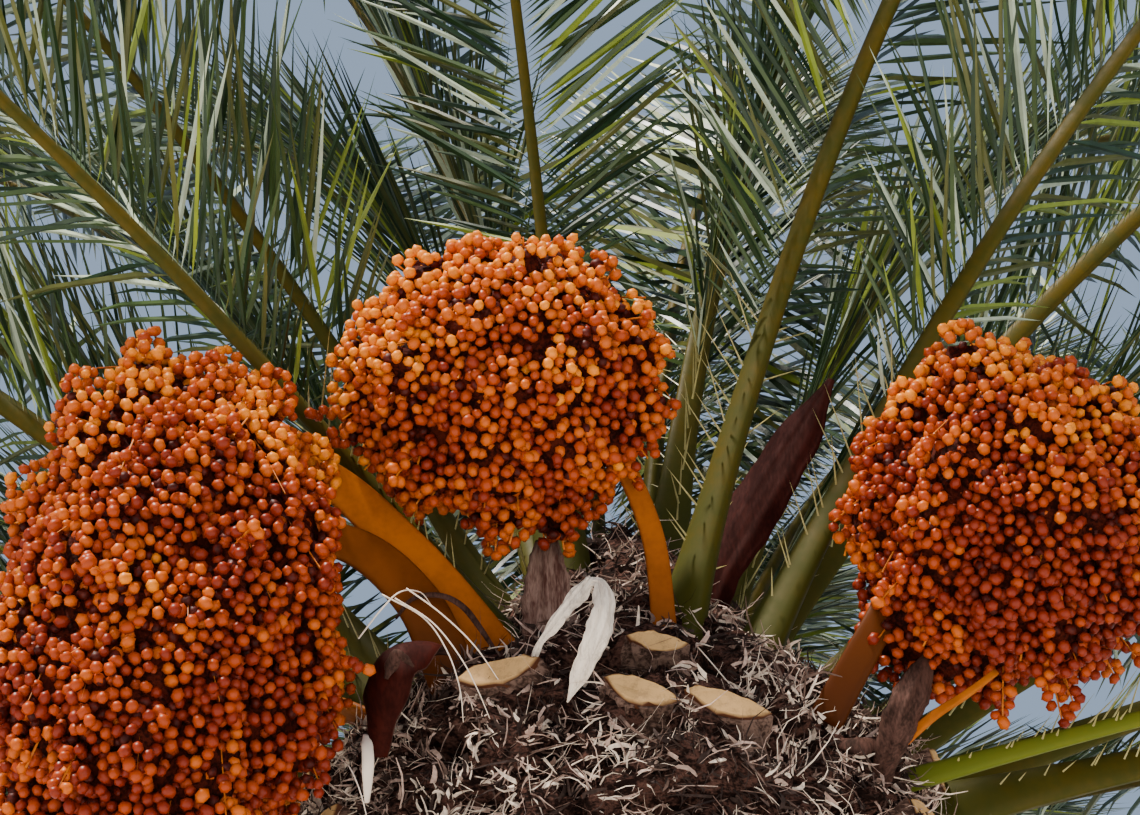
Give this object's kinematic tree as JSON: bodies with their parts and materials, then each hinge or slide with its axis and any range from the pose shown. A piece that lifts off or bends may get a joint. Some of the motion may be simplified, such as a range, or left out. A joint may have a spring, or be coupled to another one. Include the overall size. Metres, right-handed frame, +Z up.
{
  "type": "date palm tree",
  "caption": "Fruiting date palm: stout scarred trunk on a root flare, shaggy head of cut leaf bases, arching feather fronds and hanging bunches of orange fruit.",
  "frame": {"origin": "centre of the flat cut under the trunk, at ground level", "axes": "+Z up the trunk, -Y towards the front with the fruit, +X to the right of that view"},
  "size_m": [7.8731, 6.0784, 6.6354],
  "materials": {
    "bark": "rough fibrous bark with leaf scars",
    "frond": "satin leaflets with a pale bloom",
    "fruit": "smooth glossy skin",
    "bract": "dry woody husk",
    "husk": "dry papery husk"
  },
  "bodies": {
    "root": {"bract_middle": "bract", "bract_right": "bract", "frond_01": "frond", "frond_02": "frond", "frond_04": "frond", "frond_07": "frond", "frond_09": "frond", "frond_12": "frond", "frond_15": "frond", "frond_17": "frond", "frond_20": "frond", "frond_22": "frond", "frond_23": "frond", "frond_25": "frond", "frond_28": "frond", "frond_30": "frond", "frond_31": "frond", "frond_33": "frond", "frond_35": "frond", "frond_36": "frond", "frond_38": "frond", "frond_41": "frond", "frond_43": "frond", "frond_44": "frond", "frond_46": "frond", "frond_48": "frond", "frond_49": "frond", "frond_51": "frond", "frond_54": "frond", "frond_56": "frond", "frond_57": "frond", "frond_59": "frond", "frond_61": "frond", "frond_62": "frond", "frond_64": "frond", "frond_front_right": "frond", "frond_left": "frond", "frond_left_rear": "frond", "frond_low_left": "frond", "frond_low_right": "frond", "frond_middle": "frond", "frond_rear_right": "frond", "frond_right": "frond", "fruit_left": "fruit", "fruit_low_left": "fruit", "fruit_middle": "fruit", "fruit_rear": "fruit", "fruit_rear_left": "fruit", "fruit_rear_right": "fruit", "fruit_right": "fruit", "husk_folded": "husk", "trunk": "bark"}
  },
  "joints": []
}
